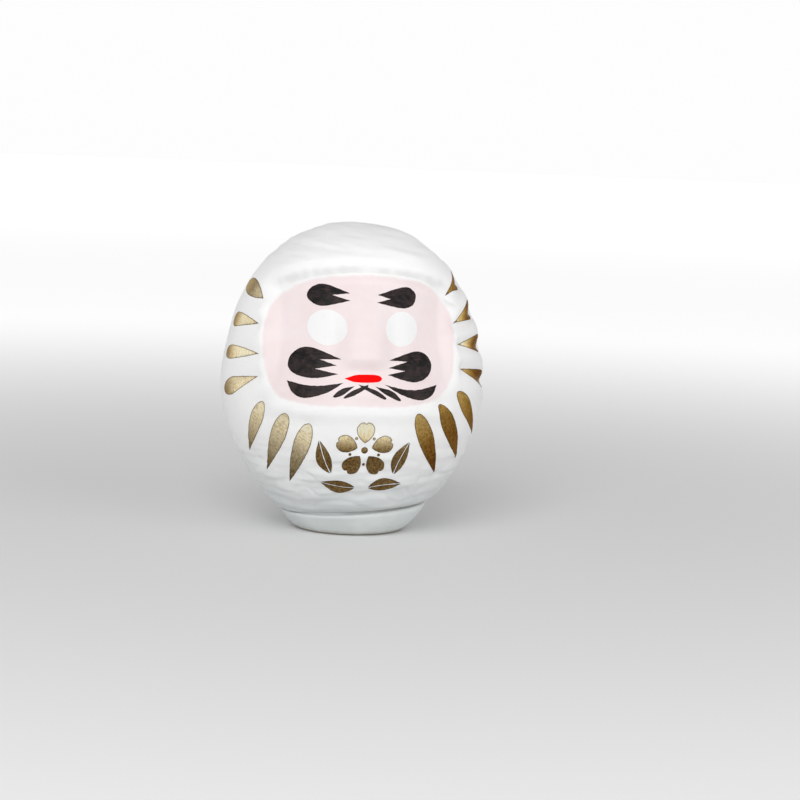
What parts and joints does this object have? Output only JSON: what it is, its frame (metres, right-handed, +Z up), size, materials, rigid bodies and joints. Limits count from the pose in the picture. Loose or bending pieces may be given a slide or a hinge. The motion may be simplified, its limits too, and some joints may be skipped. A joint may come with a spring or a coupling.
{
  "type": "daruma doll",
  "caption": "Small egg-shaped daruma doll: white paper shell on a round clay weight, with a recessed pink face, blank eyes, black whisker marks and gold stripes.",
  "frame": {"origin": "middle of the doll's bounding box at the level of its flat foot, which is the surface it stands on", "axes": "+Z up through the crown, -Y out of the face, +X to the viewer's right when the viewer looks at the face"},
  "size_m": [0.0776, 0.0754, 0.0905],
  "materials": {
    "chalk_white": "matte",
    "clay_white": "matte",
    "dried_glue": "satin",
    "face_pink": "matte",
    "eye_white": "matte",
    "ink_black": "satin",
    "lip_red": "satin",
    "gilt": "satin"
  },
  "bodies": {
    "root": {"paper_shell": "chalk_white", "base_weight": "clay_white", "glue_bead": "dried_glue", "face_field": "face_pink", "eye_blank_left": "eye_white", "eye_blank_right": "eye_white", "brow_left": "ink_black", "brow_right": "ink_black", "cheek_whisker_left": "ink_black", "cheek_whisker_right": "ink_black", "moustache_left": "ink_black", "moustache_right": "ink_black", "chin_stroke_left": "ink_black", "chin_stroke_crossed": "ink_black", "chin_stroke_right": "ink_black", "mouth": "lip_red", "gold_stripe_left_1": "gilt", "gold_stripe_left_2": "gilt", "gold_stripe_left_3": "gilt", "gold_stripe_left_4": "gilt", "gold_stripe_left_5": "gilt", "gold_stripe_left_6": "gilt", "gold_stripe_left_7": "gilt", "gold_stripe_right_1": "gilt", "gold_stripe_right_2": "gilt", "gold_stripe_right_3": "gilt", "gold_stripe_right_4": "gilt", "gold_stripe_right_5": "gilt", "gold_stripe_right_6": "gilt", "gold_stripe_right_7": "gilt", "crest_blossom": "gilt", "crest_leaf_lower_left": "gilt", "crest_leaf_upper_left": "gilt", "crest_leaf_lower_right": "gilt", "crest_leaf_upper_right": "gilt"}
  },
  "joints": []
}
